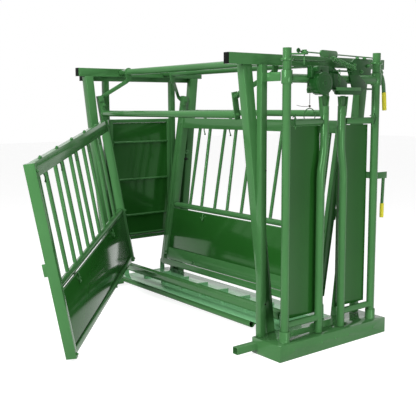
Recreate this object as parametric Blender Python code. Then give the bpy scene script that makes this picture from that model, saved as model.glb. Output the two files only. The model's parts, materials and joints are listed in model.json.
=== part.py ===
"""Squeeze crush for cattle: headgate, leaning squeeze sides with swinging side gates, floor and tail gate.

Units are metres, +Z is up, and the animal walks towards -Y.
The origin is the centre of the underside of the headgate's base pan.
Each squeeze side is modelled upright in a flat side frame (across, along Y, up the panel)
and then leaned by its pivot empty, so its pieces need no slanted coordinates.
"""
import bpy
import bmesh
from math import atan2, cos, pi, radians, sin
from mathutils import Euler, Matrix, Quaternion, Vector

for old in list(bpy.data.objects):
    bpy.data.objects.remove(old, do_unlink=True)

# Driving dimensions
GAP = 0.0003
SIDES = (("left", -1), ("right", 1))

PAN_HALF_X, PAN_HALF_Y, PAN_TOP = 0.56, 0.145, 0.115
POST_X, POST_Y, POST_R, POST_TOP = 0.457, -0.079, 0.03015, 2.128
SLEEVE_R, SLEEVE_BORE = 0.038, 0.0317
HEAD_BEAM_Z, HEAD_BEAM_R = 1.930, 0.030
BEAM_LOW, BEAM_HIGH, BEAM_DEPTH = 2.025, 2.100, 0.0505
FRONT_BEAM_Y, FRONT_BEAM_HALF, REAR_BEAM_Y, REAR_BEAM_HALF = 0.1205, 0.79, 2.375, 0.70
LEG, FRONT_LEG_DEPTH, LEG_WALL = 0.0762, 0.0700, 0.0048
FRONT_LEG_FOOT_X, FRONT_LEG_LEAN, FRONT_LEG_Y = 0.361, 0.1213, 0.1458
REAR_LEG_FOOT_X, REAR_LEG_LEAN, REAR_LEG_Y = 0.395, 0.1020, 2.352
SQUARE, SQUARE_WALL = 0.0505, 0.0032
TAIL_Y, TAIL_POST_X, TRACK_LOW, TRACK_HIGH, TRACK_HALF_X = 2.430, 0.380, 1.985, 2.040, 0.633
SHAFT_X, SHAFT_Z, SHAFT_R = 0.250, 2.065, 0.0286
SILL_X, SILL_Z, SILL_R = 0.255, 0.0685, 0.0302
FLOOR_Z, FLOOR_SHEET, FLOOR_HALF_X = 0.1003, 0.004, 0.290

LEAN = radians(9.35)
PLANE_X = 0.142
GATE_FRONT, GATE_REAR = 0.2185, 2.336
GATE_LOW, GATE_HIGH, GATE_THICK, STILE = 0.274, 1.656, 0.076, 0.038
TOP_RAIL_LOW, BOTTOM_RAIL_LOW, BOTTOM_RAIL_HIGH = 1.555, 0.289, 0.329
INSET, RAIL_OUT, MID_RAIL_S, MID_RAIL_R = 0.013, 0.063, 0.785, 0.030
SQUEEZE_T, SQUEEZE_S, SQUEEZE_TUBE = 0.038, 0.202, 0.057
GATE_AXIS_T, GATE_AXIS_S, GATE_OPEN = 0.090, 0.950, radians(43.6)
GATE_AXIS_LEAN, GATE_AXIS_RAKE = radians(8.77), radians(1.6)
BAR_FIRST, BAR_STEP, BAR_COUNT, BAR_R = 0.365, 0.385, 5, 0.0135
PANEL_AXIS_T, PANEL_AXIS_S, PANEL_LOW, PANEL_HIGH, SHEET = 0.074, 0.334, 0.3455, 0.742, 0.003

DOOR_INNER_X, DOOR_NECK_X, DOOR_BAR_R = 0.118, 0.090, 0.0241
DOOR_TOP_Z, DOOR_LOW_Z, DOOR_HIGH_Z = 1.637, 0.231, 1.816
PULLEY_AT = (-0.178, -0.020, 1.857)
TAIL_HINGES_Z, TAIL_LATCH_Z = (0.560, 1.460), 1.250

# Colours, roughness and metallic value of each finish
FINISHES = {
    "green_paint": ((0.035, 0.150, 0.040), 0.32, 0.0),
    "dark_paint": ((0.015, 0.060, 0.018), 0.40, 0.0),
    "black_cap": ((0.010, 0.010, 0.010), 0.55, 0.0),
    "yellow_grip": ((0.800, 0.640, 0.030), 0.45, 0.0),
    "zinc": ((0.420, 0.450, 0.400), 0.35, 1.0),
    "cord": ((0.030, 0.022, 0.018), 0.85, 0.0),
}
PIVOTS = {}


# Materials and scene helpers
def paint(obj, finish):
    colour, roughness, metallic = FINISHES[finish]
    material = bpy.data.materials.new(obj.name + "_paint")
    material.use_nodes = True
    shader = material.node_tree.nodes["Principled BSDF"]
    shader.inputs["Base Color"].default_value = (*colour, 1.0)
    shader.inputs["Roughness"].default_value = roughness
    shader.inputs["Metallic"].default_value = metallic
    material.diffuse_color = (*colour, 1.0)
    obj.data.materials.clear()
    obj.data.materials.append(material)


def link(name, data):
    obj = bpy.data.objects.new(name, data)
    bpy.context.scene.collection.objects.link(obj)
    return obj


def pivot(name, home, parent=None, rotation=None):
    """An empty on a joint's axis; home is its place in the frame that its pieces are drawn in."""
    empty = link(name, None)
    start = PIVOTS[parent.name] if parent else Vector()
    empty.parent = parent
    empty.location = Vector(home) - start
    if rotation is not None:
        empty.rotation_mode = "QUATERNION"
        empty.rotation_quaternion = rotation
    PIVOTS[name] = Vector(home)
    return empty


def finish(bm, name, colour="green_paint", at=None, smooth=False):
    """Turn a bmesh into a named object that hangs on the pivot `at`."""
    if at:
        bmesh.ops.translate(bm, vec=-PIVOTS[at.name], verts=bm.verts)
    bmesh.ops.recalc_face_normals(bm, faces=bm.faces)
    mesh = bpy.data.meshes.new(name)
    bm.to_mesh(mesh)
    bm.free()
    if smooth:
        mesh.shade_smooth()
        mesh.set_sharp_from_angle(angle=radians(35))
    obj = link(name, mesh)
    obj.parent = at
    paint(obj, colour)
    return obj


def boolean(obj, bm, operation, at=None):
    """Cut or weld a hidden solid into obj, drawn in the same frame as obj."""
    count = len(obj.modifiers)
    tool = finish(bm, f"{obj.name}_tool_{count}", "dark_paint", at)
    tool.hide_render = True
    tool.display_type = "WIRE"
    modifier = obj.modifiers.new(f"{operation.lower()}_{count}", "BOOLEAN")
    modifier.operation = operation
    modifier.solver = "EXACT"
    modifier.object = tool


# Solids, drawn into a bmesh
def add_loft(bm, start, end, start_bore=None, end_bore=None):
    """A bar between two loops of points, or a tube when both bore loops are given."""
    low = [bm.verts.new(p) for p in start]
    high = [bm.verts.new(p) for p in end]
    count = len(low)
    for i in range(count):
        j = (i + 1) % count
        bm.faces.new((low[i], low[j], high[j], high[i]))
    if start_bore is None:
        bm.faces.new(low[::-1])
        bm.faces.new(high)
        return
    low_in = [bm.verts.new(p) for p in start_bore]
    high_in = [bm.verts.new(p) for p in end_bore]
    for i in range(count):
        j = (i + 1) % count
        bm.faces.new((low_in[j], low_in[i], high_in[i], high_in[j]))
        bm.faces.new((low[j], low[i], low_in[i], low_in[j]))
        bm.faces.new((high[i], high[j], high_in[j], high_in[i]))


def add_box(bm, low, high):
    (x0, y0, z0), (x1, y1, z1) = low, high
    loop = ((x0, y0), (x1, y0), (x1, y1), (x0, y1))
    add_loft(bm, [(x, y, z0) for x, y in loop], [(x, y, z1) for x, y in loop])


def add_prism(bm, axis, outline, low, high):
    """An outline extruded along an axis: x takes (y, z), y takes (x, z), z takes (x, y) points."""
    def place(point, depth):
        a, b = point
        return {"x": (depth, a, b), "y": (a, depth, b), "z": (a, b, depth)}[axis]
    add_loft(bm, [place(p, low) for p in outline], [place(p, high) for p in outline])


def ring_points(centre, direction, radius, sides, turn=0.0):
    aim = Vector(direction).normalized()
    side = aim.orthogonal().normalized()
    if abs(aim.z) < 0.9:
        side = aim.cross(Vector((0, 0, 1))).normalized()
    up = aim.cross(side)
    angles = [turn + 2 * pi * (i + 0.5) / sides for i in range(sides)]
    return [Vector(centre) + radius * (cos(a) * side + sin(a) * up) for a in angles]


def add_pipe(bm, a, b, radius, bore=None, sides=16):
    direction = Vector(b) - Vector(a)
    outer = [ring_points(end, direction, radius, sides) for end in (a, b)]
    if bore is None:
        add_loft(bm, *outer)
        return
    inner = [ring_points(end, direction, bore, sides) for end in (a, b)]
    add_loft(bm, *outer, *inner)


def add_bent_rod(bm, points, radius, sides=8, closed=False):
    """A round rod through points, with mitred bends and flat ends."""
    points = [Vector(p) for p in points]
    count = len(points)
    rings = []
    side = None
    for i, point in enumerate(points):
        before = points[i - 1] if i or closed else point
        after = points[(i + 1) % count] if i < count - 1 or closed else point
        aim = ((point - before).normalized() + (after - point).normalized()).normalized()
        if side is None:
            side = aim.orthogonal().normalized()
        side = (side - aim * side.dot(aim)).normalized()
        up = aim.cross(side)
        angles = [2 * pi * k / sides for k in range(sides)]
        rings.append([bm.verts.new(point + radius * (cos(a) * side + sin(a) * up)) for a in angles])
    pairs = list(zip(rings, rings[1:]))
    if closed:
        last = rings[-1]
        near = min(range(sides), key=lambda k: (rings[0][k].co - last[0].co).length)
        pairs.append((last, [rings[0][(near + k) % sides] for k in range(sides)]))
    for first, second in pairs:
        for k in range(sides):
            m = (k + 1) % sides
            bm.faces.new((first[k], first[m], second[m], second[k]))
    if not closed:
        bm.faces.new(rings[0][::-1])
        bm.faces.new(rings[-1])


def arc(centre, radius, start, end, steps):
    """Points on an arc in a plane, from one angle in degrees to another."""
    angles = [radians(start + (end - start) * i / steps) for i in range(steps + 1)]
    return [(centre[0] + radius * cos(a), centre[1] + radius * sin(a)) for a in angles]


def square_loop(x, y, half):
    return [(x - half, y - half), (x + half, y - half), (x + half, y + half), (x - half, y + half)]


def add_square_post(bm, x, y, z0, z1, size=SQUARE, wall=SQUARE_WALL):
    outer = square_loop(x, y, size / 2)
    inner = square_loop(x, y, size / 2 - wall)
    add_loft(bm, [(*p, z0) for p in outer], [(*p, z1) for p in outer],
             [(*p, z0) for p in inner], [(*p, z1) for p in inner])


def add_cross_tube(bm, x0, x1, y, z, depth, height, wall):
    """A hollow rectangular tube along X; y and z are its centre."""
    def loop(a, b):
        return [(y - a, z - b), (y + a, z - b), (y + a, z + b), (y - a, z + b)]
    outer, inner = loop(depth / 2, height / 2), loop(depth / 2 - wall, height / 2 - wall)
    add_loft(bm, [(x0, *p) for p in outer], [(x1, *p) for p in outer],
             [(x0, *p) for p in inner], [(x1, *p) for p in inner])


def one(add, *values, **options):
    """A fresh bmesh holding one solid."""
    bm = bmesh.new()
    add(bm, *values, **options)
    return bm


# Fixed frame round the headgate
def build_base():
    block = one(add_box, (-PAN_HALF_X, -PAN_HALF_Y, 0), (PAN_HALF_X, PAN_HALF_Y, PAN_TOP))
    pan = finish(block, "headgate_base_pan")
    flange, web, plate = 0.030, 0.060, 0.005
    pockets = bmesh.new()
    for side in (-1, 1):
        ends = sorted((side * web, side * (PAN_HALF_X - plate)))
        add_box(pockets, (ends[0], -PAN_HALF_Y + flange, -0.01),
                (ends[1], PAN_HALF_Y - flange, PAN_TOP - plate))
    boolean(pan, pockets, "DIFFERENCE")
    sockets = bmesh.new()
    for side in (-1, 1):
        x = side * POST_X
        add_pipe(sockets, (x, POST_Y, PAN_TOP - 0.002), (x, POST_Y, 0.190), SLEEVE_R, SLEEVE_BORE, 20)
    boolean(pan, sockets, "UNION")
    stub = bmesh.new()
    add_cross_tube(stub, -0.748, -PAN_HALF_X + 0.003, 0.110, 0.060, SQUARE, SQUARE, SQUARE_WALL)
    boolean(pan, stub, "UNION")
    bolts = bmesh.new()
    for x in (-0.42, -0.14, 0.14, 0.42):
        profile = [ring_points((x, y, 0.062), (0, 1, 0), r, 10)
                   for y, r in ((-PAN_HALF_Y + 0.002, 0.011), (-PAN_HALF_Y - 0.006, 0.007))]
        add_loft(bolts, *profile)
    boolean(pan, bolts, "UNION")
    sunk = PAN_TOP - 0.002
    ramp = [(-0.020, sunk)] + arc((-0.020, sunk), 0.052, 0, 90, 5)
    boolean(pan, one(add_prism, "x", ramp, -0.100, 0.100), "UNION")


def build_headgate_frame():
    beam = finish(one(add_pipe, (-0.43, POST_Y, HEAD_BEAM_Z), (0.43, POST_Y, HEAD_BEAM_Z), HEAD_BEAM_R),
                  "headgate_top_beam", smooth=True)
    sleeves, bores = bmesh.new(), bmesh.new()
    for side in (-1, 1):
        x = side * POST_X
        add_pipe(sleeves, (x, POST_Y, 1.893), (x, POST_Y, 1.982), SLEEVE_R, None, 20)
        add_pipe(bores, (x, POST_Y, 1.85), (x, POST_Y, 2.02), SLEEVE_BORE, None, 20)
    boolean(beam, sleeves, "UNION")
    boolean(beam, bores, "DIFFERENCE")
    rear = POST_Y + HEAD_BEAM_R - 0.003
    x, y = PULLEY_AT[0], PULLEY_AT[1] + 0.0115
    hanger = [(rear, 1.930), (y + 0.005, 1.930), (y + 0.005, 1.835), (y, 1.835), (y, 1.925), (rear, 1.925)]
    boolean(beam, one(add_prism, "x", hanger, x - 0.012, x + 0.012), "UNION")
    ear = [(0.474, 1.950), (0.560, 1.962), (0.575, 1.990), (0.560, 2.012), (0.474, 1.975)]
    boolean(beam, one(add_prism, "y", ear, -0.0515, -0.0435), "UNION")
    for name, side in SIDES:
        post = bmesh.new()
        add_square_post(post, side * 0.500, 0.1195, PAN_TOP + GAP, BEAM_LOW - GAP)
        post = finish(post, f"frame_post_{name}")
        inner, outer = side * 0.476, side * 0.524
        face, back = 0.096, 0.088
        strap = [(inner, face), (inner, -0.0410), (inner + side * 0.006, -0.0410),
                 (inner + side * 0.006, back), (outer, back), (outer, face)]
        boolean(post, one(add_prism, "z", strap, 1.912, 1.972), "UNION")
        if side > 0:
            boolean(post, squeeze_lever_bracket(), "UNION")
        leg = one(add_leaning_leg, side, FRONT_LEG_FOOT_X, FRONT_LEG_LEAN, FRONT_LEG_Y, FRONT_LEG_DEPTH)
        finish(leg, f"front_leg_{name}")
        leg = one(add_leaning_leg, side, REAR_LEG_FOOT_X, REAR_LEG_LEAN, REAR_LEG_Y, LEG)
        finish(leg, f"rear_leg_{name}")


def squeeze_lever_bracket():
    """A folded arm on the right frame post that carries the squeeze lever's pivot."""
    face = 0.500 + SQUARE / 2 - 0.0015
    arm = [(face, 0.140), (face, -0.0515), (0.650, -0.0515), (0.650, -0.0435), (face + 0.0075, -0.0435),
           (face + 0.0075, 0.140)]
    return one(add_prism, "z", arm, 1.190, 1.240)


def add_leaning_leg(bm, side, foot_x, lean, y0, depth):
    """A tube that leans outward from the ground to the beam, cut level at both ends."""
    top = BEAM_LOW - GAP
    def loop(z, inset):
        x = foot_x + lean * z
        half = (LEG / 2 - inset) / cos(atan2(lean, 1))
        ys = (y0 + inset, y0 + depth - inset)
        points = [(x - half, ys[0]), (x + half, ys[0]), (x + half, ys[1]), (x - half, ys[1])]
        return [(side * a, b, z) for a, b in points]
    add_loft(bm, loop(0, 0), loop(top, 0), loop(0, LEG_WALL), loop(top, LEG_WALL))


def build_overhead():
    z = (BEAM_LOW + BEAM_HIGH) / 2
    bearings = bmesh.new()
    for side in (-1, 1):
        y = FRONT_BEAM_Y + BEAM_DEPTH - 0.002
        add_pipe(bearings, (side * SHAFT_X, y, SHAFT_Z), (side * SHAFT_X, y + 0.032, SHAFT_Z),
                 SHAFT_R + 0.006, SHAFT_R + 0.0012, 16)
    beams = (("front", FRONT_BEAM_Y, FRONT_BEAM_HALF), ("rear", REAR_BEAM_Y, REAR_BEAM_HALF))
    for name, y, half_x in beams:
        beam = bmesh.new()
        add_cross_tube(beam, -half_x, half_x, y + BEAM_DEPTH / 2, z, BEAM_DEPTH,
                       BEAM_HIGH - BEAM_LOW, SQUARE_WALL)
        beam = finish(beam, f"{name}_top_beam")
        if name == "rear":
            holes = bmesh.new()
            for side in (-1, 1):
                add_pipe(holes, (side * SHAFT_X, y - 0.02, SHAFT_Z), (side * SHAFT_X, y + 0.07, SHAFT_Z),
                         SHAFT_R + 0.0012)
            boolean(beam, holes, "DIFFERENCE")
        else:
            boolean(beam, bearings, "UNION")
        for side_name, side in SIDES:
            ends = sorted((side * (half_x + GAP), side * (half_x + 0.006)))
            cap = one(add_box, (ends[0], y, BEAM_LOW), (ends[1], y + BEAM_DEPTH, BEAM_HIGH))
            finish(cap, f"{name}_beam_cap_{side_name}", "black_cap")


def build_tail_frame():
    """Tail posts, their cross sill and the overhead track tube, hung from the rear beam."""
    mid_y = TAIL_Y + SQUARE / 2
    track = bmesh.new()
    add_cross_tube(track, -TRACK_HALF_X, TRACK_HALF_X, mid_y, (TRACK_LOW + TRACK_HIGH) / 2,
                   SQUARE, TRACK_HIGH - TRACK_LOW, SQUARE_WALL)
    frame = finish(track, "tail_frame")
    posts, hangers, sill = bmesh.new(), bmesh.new(), bmesh.new()
    y0, y1, plate = REAR_BEAM_Y + BEAM_DEPTH + GAP, TAIL_Y + SQUARE, 0.006
    seat = TRACK_HIGH - 0.002
    angle = [(y0, seat), (y1, seat), (y1, seat + plate), (y0 + plate, seat + plate), (y0 + plate, BEAM_HIGH),
             (y0, BEAM_HIGH)]
    for name, side in SIDES:
        add_square_post(posts, side * TAIL_POST_X, mid_y, 0, TRACK_LOW + 0.002)
        add_prism(hangers, "x", angle, *sorted((side * 0.560, side * 0.610)))
        ends = sorted((side * (TRACK_HALF_X + GAP), side * (TRACK_HALF_X + 0.006)))
        cap = one(add_box, (ends[0], TAIL_Y, TRACK_LOW), (ends[1], TAIL_Y + SQUARE, TRACK_HIGH))
        finish(cap, f"track_end_cap_{name}", "black_cap")
    reach = TAIL_POST_X - SQUARE / 2 + 0.002
    add_box(sill, (-reach, TAIL_Y + 0.0005, 0.030), (reach, TAIL_Y + SQUARE - 0.0005, 0.080))
    for piece in (posts, hangers, sill, *tail_fittings()):
        boolean(frame, piece, "UNION")


def build_floor():
    front, back = 0.1458, 2.425
    top = FLOOR_Z + FLOOR_SHEET
    sills, rails, members, spreaders, cleats = (bmesh.new() for _ in range(5))
    for side in (-1, 1):
        x = side * SILL_X
        add_pipe(sills, (x, 0.490, SILL_Z), (x, 2.400, SILL_Z), SILL_R, SILL_R - 0.004, 20)
        add_box(rails, (side * 0.1475 - 0.0175, front, 0.030), (side * 0.1475 + 0.0175, back, FLOOR_Z - GAP))
        ends = sorted((side * 0.279, side * 0.3540))
        add_cross_tube(spreaders, *ends, 2.390, 0.055, SQUARE, SQUARE, SQUARE_WALL)
    for i in range(7):
        y = 0.397 + 0.298 * i
        half_x = 0.2275 if y > 0.6 else 0.160
        add_box(members, (-half_x, y - 0.020, 0.0305), (half_x, y + 0.020, FLOOR_Z - 2 * GAP))
        add_box(cleats, (-0.150, y - 0.019, top - 0.001), (0.150, y + 0.019, top + 0.025))
    frame = finish(sills, "floor_frame", smooth=True)
    for piece in (members, rails, spreaders):
        boolean(frame, piece, "UNION")
    sheet = one(add_box, (-FLOOR_HALF_X, front, FLOOR_Z), (FLOOR_HALF_X, back, top))
    deck = finish(sheet, "floor_deck", "dark_paint")
    boolean(deck, cleats, "UNION")
    return deck


# Headgate doors, their tie rod and their lever
def build_door(name, side):
    hinge = pivot(f"door_{name}_axis", (side * POST_X, POST_Y, 0))
    post = (side * POST_X, POST_Y)
    bm = one(add_pipe, (*post, PAN_TOP + 2 * GAP), (*post, POST_TOP), POST_R, None, 20)
    frame = finish(bm, f"door_frame_{name}", at=hinge, smooth=True)
    bars = bmesh.new()
    inner = side * DOOR_INNER_X
    for z in (DOOR_TOP_Z, DOOR_LOW_Z):
        add_pipe(bars, (side * (POST_X - 0.010), POST_Y, z), (inner + side * 0.005, POST_Y, z), DOOR_BAR_R)
    boolean(frame, bars, "UNION", hinge)
    stanchion = bmesh.new()
    path = [(inner, 0.119), (inner, 1.240), (inner - side * 0.004, 1.290), (side * DOOR_NECK_X, 1.430),
            (side * (DOOR_NECK_X - 0.002), 1.480), (side * (DOOR_NECK_X - 0.002), 1.745)]
    add_bent_rod(stanchion, [(x, POST_Y, z) for x, z in path], 0.030, 16)
    boolean(frame, stanchion, "UNION", hinge)
    x0, x1 = side * 0.4145, side * 0.098
    y0, y1 = POST_Y + 0.0335, POST_Y + 0.045
    skin = [(x0, y0), (x0, y1), (x1, y1), (x1, y0), (x1 + side * SHEET, y0), (x1 + side * SHEET, y1 - SHEET),
            (x0 - side * SHEET, y1 - SHEET), (x0 - side * SHEET, y0)]
    finish(one(add_prism, "z", skin, 0.255, 1.608), f"door_panel_{name}", "dark_paint", hinge)
    neck = side * (DOOR_NECK_X - 0.002)
    blade = [(neck - side * 0.018, 1.735), (neck + side * 0.018, 1.735), (neck + side * 0.030, DOOR_HIGH_Z),
             (neck - side * 0.012, DOOR_HIGH_Z)]
    boolean(frame, one(add_prism, "y", blade, POST_Y - 0.006, POST_Y + 0.006), "UNION", hinge)
    boolean(frame, one(add_pipe, (*post, 2.045), (*post, 2.060), 0.044, None, 20), "UNION", hinge)
    reach = 0.118
    angle = radians(-44 if side < 0 else 44)
    tip = Vector((side * POST_X + reach * cos(angle), POST_Y + reach * sin(angle)))
    aim = Vector((cos(angle), sin(angle)))
    across = Vector((-aim.y, aim.x)) * 0.020
    start = Vector(post)
    arm = one(add_prism, "z", [start - across, tip - across, tip + aim * 0.020, tip + across, start + across],
              2.082, 2.092)
    boolean(frame, arm, "UNION", hinge)
    hook = bmesh.new()
    x, y = side * 0.3985, POST_Y - DOOR_BAR_R - 0.0015
    points = [(y, 1.590), (y, 1.640)] + arc((y + 0.014, 1.655), 0.020, 160, 50, 4)
    add_bent_rod(hook, [(x, a, b) for a, b in points], 0.004, 6)
    boolean(frame, hook, "UNION", hinge)
    return hinge, tip


def build_tie_rod(left, right):
    """The rod that makes the doors turn together, with its oval adjusting plate."""
    hinge = pivot("tie_rod_axis", (left.x, left.y, 0), PIVOT_DOORS["left"])
    low, high = 2.0935, 2.1035
    mid = (low + high) / 2
    run = (right - left).normalized()
    rod = finish(one(add_pipe, (*(left + run * 0.015), mid), (*(right - run * 0.015), mid), 0.0048, None, 8),
                 "headgate_tie_rod", at=hinge, smooth=True)
    for end in (left, right):
        boolean(rod, one(add_pipe, (*end, low), (*end, high), 0.020, None, 16), "UNION", hinge)
        boolean(rod, one(add_pipe, (*end, high - 0.001), (*end, high + 0.010), 0.011, None, 6), "UNION", hinge)
    centre = left + run * 0.285
    plate = bmesh.new()
    oval = arc((0.085, 0), 0.024, -90, 90, 6) + arc((-0.085, 0), 0.024, 90, 270, 6)
    turn = Matrix.Rotation(atan2(run.y, run.x), 3, "Z")
    middle = Vector((*centre, mid))
    loops = [[turn @ Vector((a, depth, b)) + middle for a, b in oval] for depth in (-0.0045, 0.0045)]
    add_loft(plate, *loops)
    boolean(rod, plate, "UNION", hinge)


def build_headgate_lever():
    hinge = pivot("headgate_lever_axis", (0.549, -0.045, 1.989))
    y0, y1 = -0.0425, -0.0345
    spine = [(0.549, 1.989), (0.578, 1.950), (0.594, 1.900), (0.601, 1.845)]
    outline = offset_strip(spine, 0.014)
    lever = finish(one(add_prism, "y", outline, y0, y1), "headgate_lever", at=hinge)
    boss = one(add_pipe, (0.549, y0 + 0.001, 1.989), (0.549, y1 - 0.001, 1.989), 0.022, None, 12)
    boolean(lever, boss, "UNION", hinge)
    grip = one(add_pipe, (0.6015, (y0 + y1) / 2, 1.8445), (0.614, (y0 + y1) / 2, 1.709), 0.017, None, 12)
    finish(grip, "headgate_lever_grip", "yellow_grip", hinge, smooth=True)


def offset_strip(spine, half):
    """The outline of a flat bar that follows a line of points in a plane."""
    left, right = [], []
    points = [Vector(p) for p in spine]
    for i, point in enumerate(points):
        before = points[max(i - 1, 0)]
        after = points[min(i + 1, len(points) - 1)]
        aim = (after - before).normalized()
        across = Vector((-aim.y, aim.x)) * half
        left.append(tuple(point + across))
        right.append(tuple(point - across))
    return left + right[::-1]


# Latch mechanism over the headgate
def build_mechanism():
    front = POST_Y - HEAD_BEAM_R - GAP
    drum = finish(one(add_pipe, (-0.205, front, 1.897), (-0.205, -0.186, 1.897), 0.078, None, 24),
                  "latch_drum", "dark_paint", smooth=True)
    boolean(drum, one(add_box, (-0.300, -0.150, 1.935), (-0.130, front, 2.012)), "UNION")
    boolean(drum, one(add_pipe, (-0.270, -0.149, 1.992), (-0.270, -0.190, 1.992), 0.019, None, 14), "UNION")
    gussets = bmesh.new()
    for x in (-0.110, 0.091):
        outline = [(x, 2.016), (x + 0.055, 2.016), (x + 0.200, 1.905), (x + 0.200, 1.866), (x + 0.060, 1.866)]
        add_prism(gussets, "y", outline, -0.122, front)
    bracket = finish(gussets, "mechanism_bracket")
    boolean(bracket, one(add_box, (-0.085, -0.180, 1.856), (0.292, -0.1095, 1.869)), "UNION")
    wedge = [(-0.060, 1.858), (0.220, 1.858), (0.180, 1.822), (-0.020, 1.822)]
    boolean(bracket, one(add_prism, "y", wedge, -0.165, -0.115), "UNION")
    tower = [(0.120, 1.962), (0.330, 1.962), (0.330, 2.036), (0.290, 2.074), (0.150, 2.074), (0.120, 2.050)]
    boolean(bracket, one(add_prism, "y", tower, -0.134, -0.120), "UNION")


def build_cord():
    x, y, z = PULLEY_AT
    hinge = pivot("cord_pulley_axis", PULLEY_AT)
    wheel = bmesh.new()
    profile = ((-0.009, 0.024), (-0.003, 0.018), (0.003, 0.018), (0.009, 0.024))
    rings = [ring_points((x, y + d, z), (0, 1, 0), r, 16) for d, r in profile]
    verts = [[wheel.verts.new(p) for p in ring] for ring in rings]
    for first, second in zip(verts, verts[1:]):
        for k in range(16):
            m = (k + 1) % 16
            wheel.faces.new((first[k], first[m], second[m], second[k]))
    wheel.faces.new(verts[0][::-1])
    wheel.faces.new(verts[-1])
    finish(wheel, "cord_pulley", "dark_paint", hinge, smooth=True)


def add_cord(name, route, radius):
    """A cord: a curve with a round bevel and filled caps through hand-picked points."""
    curve = bpy.data.curves.new(name, "CURVE")
    curve.dimensions = "3D"
    curve.bevel_depth = radius
    curve.bevel_resolution = 2
    curve.use_fill_caps = True
    spline = curve.splines.new("POLY")
    spline.points.add(len(route) - 1)
    for point, place in zip(spline.points, route):
        point.co = (*place, 1.0)
    paint(link(name, curve), "cord")


def build_pull_cord():
    x, y = PULLEY_AT[0], PULLEY_AT[1]
    top, knot_top, knot_z, knot_r = 1.8325, 1.7545, 1.744, 0.010
    drop = [(x + 0.0006 * sin(pi * i / 8), y, top + (knot_top - top) * i / 8) for i in range(9)]
    knot = bmesh.new()
    bmesh.ops.create_icosphere(knot, subdivisions=2, radius=knot_r)
    bmesh.ops.translate(knot, vec=(x, y, knot_z), verts=knot.verts)
    finish(knot, "pull_cord_knot", "cord", smooth=True)
    tail = [(x - 0.0104, y, knot_z + 0.0005), (x - 0.030, y, knot_z - 0.0015), (x - 0.055, y, knot_z - 0.0020),
            (x - 0.080, y, knot_z - 0.0005), (x - 0.105, y, knot_z + 0.0030), (x - 0.128, y, knot_z + 0.0080)]
    add_cord("pull_cord", drop, 0.0022)
    add_cord("pull_cord_tail", tail, 0.0016)
    loop = bmesh.new()
    radius = 0.050
    centre = knot_z - knot_r - GAP * 4 - radius - 0.0035
    turns = [2 * pi * i / 24 for i in range(24)]
    points = [(x + 1.12 * radius * sin(a), y, centre + radius * cos(a)) for a in turns]
    add_bent_rod(loop, points, 0.0035, 8, closed=True)
    finish(loop, "pull_ring", "green_paint", smooth=True)


# Squeeze shafts, links and lever
def build_squeeze_shaft(name, side):
    hinge = pivot(f"squeeze_shaft_{name}_axis", (side * SHAFT_X, 0, SHAFT_Z))
    x = side * SHAFT_X
    start, end = FRONT_BEAM_Y + BEAM_DEPTH + 0.002, 2.4245
    shaft = one(add_pipe, (x, start, SHAFT_Z), (x, end, SHAFT_Z), SHAFT_R, None, 20)
    shaft = finish(shaft, f"squeeze_shaft_{name}", at=hinge, smooth=True)
    cranks = bmesh.new()
    for y in (0.2500, 2.2390):
        add_prism(cranks, "y", crank_outline(x), y, y + 0.010)
    boolean(shaft, cranks, "UNION", hinge)


def crank_outline(x):
    """An egg-shaped crank arm that hangs from the shaft, from a large boss to a small eye."""
    boss, eye, length = SHAFT_R + 0.012, 0.020, 0.070
    return arc((x, SHAFT_Z), boss, 15, 165, 6) + arc((x, SHAFT_Z), boss, 165, 195, 2)[1:] + \
        arc((x, SHAFT_Z - length), eye, 190, 350, 6) + arc((x, SHAFT_Z), boss, 345, 360, 2)[:2]


def side_frame(name, side):
    """The leaned frame of one squeeze side, on the axis of its bottom tube."""
    t, s = SQUEEZE_T, SQUEEZE_S
    home = Vector((side * t, 0, s))
    empty = pivot(f"squeeze_side_{name}_axis", home)
    lean = Matrix.Rotation(side * LEAN, 3, "Y")
    empty.location = Vector((side * PLANE_X, 0, 0)) + lean @ home
    empty.rotation_euler = Euler((0, side * LEAN, 0))
    return empty


def to_side_frame(side, point):
    """World point to the flat side frame."""
    return Matrix.Rotation(-side * LEAN, 3, "Y") @ (Vector(point) - Vector((side * PLANE_X, 0, 0)))


def build_squeeze_side(name, side, ears, ear_holes):
    at = side_frame(name, side)
    t0, t1 = side * (SQUEEZE_T - SQUEEZE_TUBE / 2), side * (SQUEEZE_T + SQUEEZE_TUBE / 2)
    xs = sorted((t0, t1))
    stile_y0, stile_y1 = 2.357, 2.407
    tube = one(add_box, (xs[0], GATE_FRONT, SQUEEZE_S - SQUEEZE_TUBE / 2), (xs[1], stile_y0 + 0.010,
                                                                            SQUEEZE_S + SQUEEZE_TUBE / 2))
    frame = finish(tube, f"squeeze_frame_{name}", at=at)
    xs = sorted((side * 0.014, side * 0.064))
    boolean(frame, one(add_box, (xs[0], stile_y0, SQUEEZE_S - 0.020), (xs[1], stile_y1, 1.880)), "UNION", at)
    pipe_t, pipe_s = side * 0.036, 1.7145
    pipe = one(add_pipe, (pipe_t, 0.4375, pipe_s), (pipe_t, stile_y0 + 0.010, pipe_s), 0.0211, None, 16)
    boolean(frame, pipe, "UNION", at)
    xs = sorted((side * 0.011, side * 0.061))
    boolean(frame, one(add_box, (xs[0], 0.4295, 1.680), (xs[1], 0.4385, 1.880)), "UNION", at)
    pins = bmesh.new()
    x = side * SQUEEZE_T
    add_pipe(pins, (x, 0.190, SQUEEZE_S), (x, GATE_FRONT + 0.005, SQUEEZE_S), 0.0080, None, 12)
    add_pipe(pins, (x, stile_y1 - 0.005, SQUEEZE_S), (x, 2.4240, SQUEEZE_S), 0.0080, None, 12)
    boolean(frame, pins, "UNION", at)
    add_pivot_ears(at, ears, ear_holes)
    build_squeeze_links(name, side, at)
    build_side_gate(name, side, at, frame)


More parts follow.
